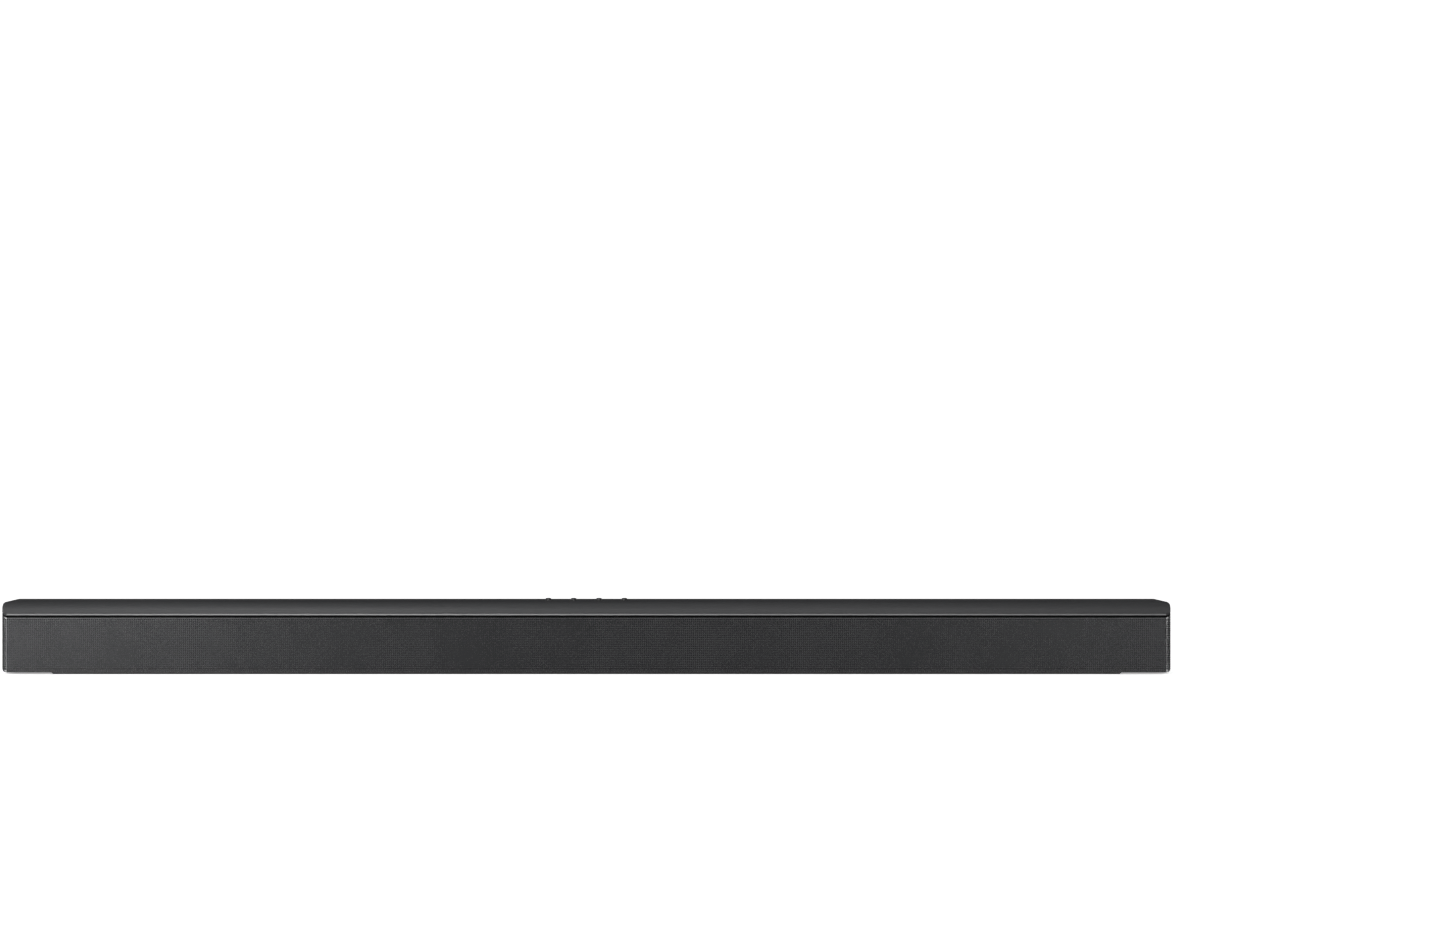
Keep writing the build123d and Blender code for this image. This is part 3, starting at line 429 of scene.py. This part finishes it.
def grille_piece(name, u0, u1, columns):
    """Closed sheet between arc lengths u0 and u1, with holes in the cells of the given columns.
    columns are the lower arc-length edges of the cells; cells are PU wide."""
    us = sorted(set([round(u0, 4), round(u1, 4)] + [round(c, 4) for c in columns] + [round(c + PU, 4) for c in columns]))
    us = [u for i, u in enumerate(us) if i == 0 or u - us[i - 1] > 1e-3]
    zs = [Z_FIRST + PZ * i for i in range(ROWS + 2)]
    cols = {round(c, 4) for c in columns}
    V, F, UVS = [], [], []
    span = u1 - u0

    def vert(u, z, depth, uvpos):
        V.append((u, z, depth))
        UVS.append(uvpos)
        return len(V) - 1

    def uv_of(u, z, back):
        return ((u - u0) / span * 0.98 + 0.01, (z - 0.5) / 52.0 * 0.46 + (0.02 if back else 0.52))

    # grid lines follow the curled edges: row lines are clipped between the low and high edges
    ua = np.array(us)
    xs = path_point(ua)[0]
    lo, hi = z_low(xs), z_high(xs)
    lines = []                                    # per u: list of (z index or edge tag, z)
    grid = {}
    for side in (0, 1):
        for i, u in enumerate(us):
            inner = [z for z in zs if lo[i] + 0.35 < z < hi[i] - 0.35]
            col = [("lo", lo[i])] + [(round(z, 4), z) for z in inner] + [("hi", hi[i])]
            for tag, z in col:
                grid[side, i, tag] = vert(u, z, side * T, uv_of(u, z, side == 1))
            if side == 0:
                lines.append([t for t, _ in col])
    oct_uz = []
    hu, hz, c = HOLE_U / 2, HOLE_Z / 2, CHAMFER
    ring = [(-hu + c, -hz), (hu - c, -hz), (hu, -hz + c), (hu, hz - c), (hu - c, hz), (-hu + c, hz), (-hu, hz - c), (-hu, -hz + c)]
    for i in range(len(us) - 1):
        a, b = lines[i], lines[i + 1]
        common = [t for t in a if t in b]
        has_hole_col = us[i] in cols or any(abs(us[i] - c2) < 2e-3 for c2 in cols)
        for k in range(len(common) - 1):
            t0, t1 = common[k], common[k + 1]
            left = a[a.index(t0):a.index(t1) + 1]
            right = b[b.index(t0):b.index(t1) + 1]
            hole = (has_hole_col and t0 != "lo" and t1 != "hi" and len(left) == 2 and len(right) == 2
                    and abs(t1 - t0 - PZ) < 0.01)
            for side in (0, 1):
                L = [grid[side, i, t] for t in left]
                Rr = [grid[side, i + 1, t] for t in right]
                if not hole:
                    loop = [L[0]] + Rr + L[:0:-1]
                    F.append(loop if side == 0 else loop[::-1])
                    continue
                uc, zc = (us[i] + us[i + 1]) / 2, (t0 + t1) / 2
                rv = [vert(uc + du, zc + dz, side * T, uv_of(uc + du, zc + dz, side == 1)) for du, dz in ring]
                c00, c10, c11, c01 = L[0], Rr[0], Rr[1], L[1]
                tri = [[c00, rv[7], rv[0]], [c10, rv[1], rv[2]], [c11, rv[3], rv[4]], [c01, rv[5], rv[6]]]
                tri = [[t[0], t[2], t[1]] for t in tri]
                quad = [[c00, c10, rv[1], rv[0]], [c10, c11, rv[3], rv[2]], [c11, c01, rv[5], rv[4]], [c01, c00, rv[7], rv[6]]]
                for f in tri + quad:
                    F.append(f if side == 0 else f[::-1])
                if side == 0:
                    front_ring = rv
                else:
                    for q in range(8):
                        p, n = q, (q + 1) % 8
                        F.append([front_ring[p], front_ring[n], rv[n], rv[p]])
    # edges: bottom, top, ends
    for i in range(len(us) - 1):
        F.append([grid[0, i, "lo"], grid[1, i, "lo"], grid[1, i + 1, "lo"], grid[0, i + 1, "lo"]])
        F.append([grid[0, i, "hi"], grid[0, i + 1, "hi"], grid[1, i + 1, "hi"], grid[1, i, "hi"]])
    for i, flip in ((0, False), (len(us) - 1, True)):
        tags = lines[i]
        for t0, t1 in zip(tags, tags[1:]):
            f = [grid[0, i, t0], grid[0, i, t1], grid[1, i, t1], grid[1, i, t0]]
            F.append(f[::-1] if flip else f)
    V = np.array(V)
    x, y, nx, ny = path_point(V[:, 0])
    pos = np.stack([x - nx * V[:, 2], y - ny * V[:, 2], V[:, 1]], 1) * MM
    o = new_mesh(name, pos, F, [M["grille_metal"]], uv=UVS)
    return o


n_front = int(HALF_FRONT * 2 // PU)
f0 = -n_front * PU / 2
front_cols = [f0 + PU * i for i in range(n_front)]
n_end = int((WING + ARC - 3.0) // PU)
right_cols = [f0 + n_front * PU + PU * i for i in range(n_end)]
left_cols = [-(c + PU) for c in reversed(right_cols)]
end_u = HALF_FRONT + ARC + WING
cut = [n_front // 3, 2 * n_front // 3]
grille = [
    grille_piece("grille_end_left", -end_u, f0, left_cols),
    grille_piece("grille_front_left", f0, front_cols[cut[0]], front_cols[:cut[0]]),
    grille_piece("grille_front_middle", front_cols[cut[0]], front_cols[cut[1]], front_cols[cut[0]:cut[1]]),
    grille_piece("grille_front_right", front_cols[cut[1]], f0 + n_front * PU, front_cols[cut[1]:]),
    grille_piece("grille_end_right", f0 + n_front * PU, end_u, right_cols),
]
for g in grille:
    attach(g, "root")
    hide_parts("front_grille")

# ------------------------------------------------------------------ acoustic cloth, stretched behind the sheet
CLOTH_D0, CLOTH_D1, CLOTH_Z0 = 0.82, 1.17, 4.2


def cloth_piece():
    """A knitted cloth pulled round the baffle: pillowed by hundredths of a millimetre between the holes."""
    us = np.concatenate([np.linspace(-end_u + 0.4, -HALF_FRONT - ARC, 22)[:-1],
                         np.linspace(-HALF_FRONT - ARC, -HALF_FRONT, 9)[:-1],
                         np.linspace(-HALF_FRONT, HALF_FRONT, 240),
                         np.linspace(HALF_FRONT, HALF_FRONT + ARC, 9)[1:],
                         np.linspace(HALF_FRONT + ARC, end_u - 0.4, 22)[1:]])
    rows = 15
    x, y, nx, ny = path_point(us)
    top = z_high(x, GZ1 - 0.45)
    low = np.maximum(CLOTH_Z0, z_low(x) + 0.6)
    V, F, UV = [], [], []
    n = len(us)
    for side, d in ((0, CLOTH_D0), (1, CLOTH_D1)):
        for j in range(rows + 1):
            t = j / rows
            z = low + (top - low) * t
            pillow = 0.03 * np.sin(us * 0.61 + j) * np.sin(j * 1.7 + us * 0.17)
            dd = d + 0.04 + pillow * (0 < j < rows)
            xx, yy = x - nx * dd, y - ny * dd
            V.append(np.stack([xx, yy, z], 1))
            UV.append(np.stack([(us + end_u) / (2 * end_u) * 0.98 + 0.01, np.full(n, t * 0.46 + (0.02 if side else 0.52))], 1))
    V, UV = np.concatenate(V), np.concatenate(UV)

    def vid(side, j, i):
        return (side * (rows + 1) + j) * n + i
    for j in range(rows):
        for i in range(n - 1):
            F.append([vid(0, j, i), vid(0, j, i + 1), vid(0, j + 1, i + 1), vid(0, j + 1, i)])
            F.append([vid(1, j, i), vid(1, j + 1, i), vid(1, j + 1, i + 1), vid(1, j, i + 1)])
    for i in range(n - 1):
        F.append([vid(0, 0, i), vid(1, 0, i), vid(1, 0, i + 1), vid(0, 0, i + 1)])
        F.append([vid(0, rows, i), vid(0, rows, i + 1), vid(1, rows, i + 1), vid(1, rows, i)])
    for j in range(rows):
        F.append([vid(0, j, 0), vid(0, j + 1, 0), vid(1, j + 1, 0), vid(1, j, 0)])
        F.append([vid(0, j, n - 1), vid(1, j, n - 1), vid(1, j + 1, n - 1), vid(0, j + 1, n - 1)])
    return new_mesh("acoustic_cloth", V * MM, F, [M["acoustic_cloth"]], smooth=True, uv=UV)


cloth = cloth_piece()
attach(cloth, "root")
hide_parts("grille_cloth")

# ------------------------------------------------------------------ printed marks on the keys
KEY_TOP, KEY_R, KEY_Y = 62.6, 2.65, 3.0
KEYS = {"button_power": ("key_power", -32.25), "button_volume_down": ("key_volume_down", -10.75),
        "button_volume_up": ("key_volume_up", 10.75), "button_source": ("key_source", 32.25)}


def crown(r):
    """Height of a key's domed top at radius r."""
    return np.interp(r, [0.0, 0.9, KEY_R - 1.0, KEY_R - 0.5, KEY_R - 0.16], [KEY_TOP, KEY_TOP, KEY_TOP - 0.1, KEY_TOP - 0.34, KEY_TOP - 0.72])


def strip(points, width, closed=False):
    """A printed stroke along points: cross-sections of ink that follow the crown, as closed prisms."""
    p = np.array(points, float)
    n = len(p)
    nxt, prv = np.roll(p, -1, 0), np.roll(p, 1, 0)
    if not closed:
        nxt[-1], prv[0] = p[-1], p[0]
    d = nxt - prv
    d /= np.linalg.norm(d, axis=1)[:, None]
    side = np.stack([-d[:, 1], d[:, 0]], 1) * width / 2
    V, F = [], []
    for a, b in zip(p + side, p - side):
        for q, dz in ((a, 0.02), (b, 0.02), (b, -0.04), (a, -0.04)):
            V.append((q[0], q[1], float(crown(np.hypot(*q))) + dz))
    last = n if closed else n - 1
    for i in range(last):
        a, b = i * 4, (i + 1) % n * 4
        for k in range(4):
            F.append([a + k, a + (k + 1) % 4, b + (k + 1) % 4, b + k])
    if not closed:
        F += [[3, 2, 1, 0], [4 * n - 4, 4 * n - 3, 4 * n - 2, 4 * n - 1]]
    return V, F


def line(x0, y0, x1, y1, n=7):
    return [(x0 + (x1 - x0) * i / (n - 1), y0 + (y1 - y0) * i / (n - 1)) for i in range(n)]


def arc(r, a0, a1, n=25, cx=0.0, cy=0.0):
    return [(cx + r * math.cos(math.radians(a0 + (a1 - a0) * i / (n - 1))),
             cy + r * math.sin(math.radians(a0 + (a1 - a0) * i / (n - 1)))) for i in range(n)]


MARKS = {
    "button_power": [(arc(0.95, 125, 415), False), (line(0, 0.45, 0, 1.3), False)],
    "button_volume_down": [(line(-1.0, 0, 1.0, 0), False)],
    "button_volume_up": [(line(-1.0, 0, 1.0, 0), False), (line(0, 0.14, 0, 1.0), False), (line(0, -0.14, 0, -1.0), False)],
    "button_source": [(line(0.1, 0.95, -1.0, 0.95) + line(-1.0, 0.8, -1.0, -0.8)[:] + line(-1.0, -0.95, 0.1, -0.95), False),
                      (line(-0.45, 0, 1.1, 0), False), (line(0.62, 0.52, 1.14, 0.06), False), (line(0.62, -0.52, 1.14, -0.06), False)],
}
ink = Mat("key_ink", spec=0.4)
ink_fine = ink.noise(3000.0, 2.0)
ink.color(ink.mix(ink.maprange(ink_fine, 0.0, 1.0, 0.3, 0.7), (0.30, 0.30, 0.305), (0.36, 0.36, 0.365)))
ink.rough(ink.maprange(ink_fine, 0.5, 0.6, 0.3, 0.7))
for key, (body, x0) in KEYS.items():
    V, F = [], []
    for pts, closed in MARKS[key]:
        v, f = strip(pts, 0.2, closed)
        F += [[i + len(V) for i in q] for q in f]
        V += v
    V = (np.array(V) + (x0, KEY_Y, 0)) * MM
    mark = new_mesh(key.replace("button", "mark"), V, F, [ink.m])
    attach(mark, body)

# ------------------------------------------------------------------ stage
floor_me = bpy.data.meshes.new("floor")
floor_me.from_pydata([(-30, -30, 0), (30, -30, 0), (30, 30, 0), (-30, 30, 0)], [], [(0, 1, 2, 3)])
floor = bpy.data.objects.new("floor", floor_me)
collection().objects.link(floor)
fm = Mat("studio_floor", rough=0.9, spec=0.1)
fm.color(fm.mix(fm.maprange(fm.noise(0.6, 2.0), 0.0, 1.0, 0.3, 0.7), (0.86, 0.86, 0.86), (0.88, 0.88, 0.88)))
fm.b.inputs["Emission Color"].default_value = (1, 1, 1, 1)
FLOOR_SEEN, FLOOR_GLOW = 1.0, 0.02          # glow of the lit floor as seen, and as it lights the bar
flp = fm.node("LightPath")
# painted contact shadow: ambient occlusion dims the floor's glow as seen by the camera near the bar
painted_contact_shadow_ao = fm.node("AmbientOcclusion", samples=8)
painted_contact_shadow_ao.inputs["Distance"].default_value = 0.035
seen = fm.math("MULTIPLY", fm.maprange(painted_contact_shadow_ao.outputs["AO"], 0.45, FLOOR_SEEN), flp.outputs["Is Camera Ray"])
fm.link(fm.math("ADD", seen, fm.maprange(flp.outputs["Is Camera Ray"], FLOOR_GLOW, 0.0)), fm.b.inputs["Emission Strength"])
floor_me.materials.append(fm.m)

WORLD_SEEN, WORLD_FILL = 1.05, 0.030
world = bpy.data.worlds.new("studio")
scene.world = world
world.use_nodes = True
wt = world.node_tree
bg = wt.nodes["Background"]
bg.inputs["Color"].default_value = (1, 1, 1, 1)
bg.inputs["Strength"].default_value = WORLD_SEEN
dim = wt.nodes.new("ShaderNodeBackground")
dim.name = "fill"
dim.inputs["Color"].default_value = (0.98, 0.99, 1.0, 1)
dim.inputs["Strength"].default_value = WORLD_FILL
sky = wt.nodes.new("ShaderNodeTexCoord")
up = wt.nodes.new("ShaderNodeSeparateXYZ")
rise = wt.nodes.new("ShaderNodeMapRange")
rise.interpolation_type = "SMOOTHSTEP"
rise.inputs["From Min"].default_value, rise.inputs["From Max"].default_value = 0.10, 0.60
shade = wt.nodes.new("ShaderNodeMix")
shade.data_type = "RGBA"
shade.inputs[6].default_value = (0.03, 0.03, 0.031, 1)      # dark studio walls
shade.inputs[7].default_value = (0.98, 0.99, 1.0, 1)        # pale ceiling
wt.links.new(sky.outputs["Generated"], up.inputs[0])
wt.links.new(up.outputs[2], rise.inputs["Value"])
wt.links.new(rise.outputs["Result"], shade.inputs["Factor"])
wt.links.new(shade.outputs[2], dim.inputs["Color"])
lp = wt.nodes.new("ShaderNodeLightPath")
mx = wt.nodes.new("ShaderNodeMixShader")
wt.links.new(lp.outputs["Is Camera Ray"], mx.inputs["Fac"])
wt.links.new(dim.outputs[0], mx.inputs[1])
wt.links.new(bg.outputs[0], mx.inputs[2])
wt.links.new(mx.outputs[0], wt.nodes["World Output"].inputs["Surface"])


def softbox(name, where, at, w, h, watts, color=(1, 1, 1)):
    d = bpy.data.lights.new(name, "AREA")
    d.shape = "RECTANGLE"
    d.size, d.size_y = w, h
    d.energy = watts
    d.color = color
    o = bpy.data.objects.new(name, d)
    collection().objects.link(o)
    o.location = where
    o.rotation_euler = (Vector(at) - Vector(where)).to_track_quat("-Z", "Y").to_euler()
    o.visible_camera = False
    return o


LIGHTS = [
    ("top_left", (-0.5, -0.1, 2.2), (-0.5, -0.1, 0), 0.48, 1.0, 6.5),
    ("top_middle", (0.0, -0.1, 2.2), (0.0, -0.1, 0), 0.48, 1.0, 0.9),
    ("top_right", (0.5, -0.1, 2.2), (0.5, -0.1, 0), 0.48, 1.0, 3.5),
    ("front_left", (-0.4, -2.2, 1.15), (-0.13, 0, 0.03), 0.75, 0.4, 9.0),
    ("front_right", (0.4, -2.2, 1.15), (0.13, 0, 0.03), 0.75, 0.4, 4.0),
    ("low_left", (-0.85, -2.6, 0.3), (-0.4, 0, 0.03), 0.5, 0.45, 8.5),
    ("low_right", (0.85, -2.6, 0.3), (0.4, 0, 0.03), 0.5, 0.45, 4.0),
    ("side_left", (-1.50, -0.78, 0.15), (-0.49, -0.05, 0.03), 0.42, 0.28, 15.0),
    ("side_right", (1.50, -0.78, 0.15), (0.49, -0.05, 0.03), 0.42, 0.28, 13.0),
    ("near_left", (-1.1, -1.0, 0.45), (-0.4, -0.05, 0.03), 0.4, 0.6, 6.5),
    ("back_top", (0.0, 1.25, 1.9), (0.0, 0, 0.05), 1.6, 0.6, 1.1),
    ("rear_left", (-1.9, 1.3, 0.9), (-0.2, 0.05, 0.03), 0.9, 0.9, 12.0),
    ("rear_right", (1.9, 1.3, 0.9), (0.2, 0.05, 0.03), 0.9, 0.9, 12.0),
]
mesh_only = bpy.data.collections.new("grille_only")     # the two edge lights rake the perforated sheet alone
for g in grille:
    mesh_only.objects.link(g)
for row in LIGHTS:
    lamp = softbox(*row)
    if row[0].startswith("side_"):
        lamp.light_linking.receiver_collection = mesh_only

scene.view_settings.view_transform = "Standard"
scene.view_settings.look = "None"
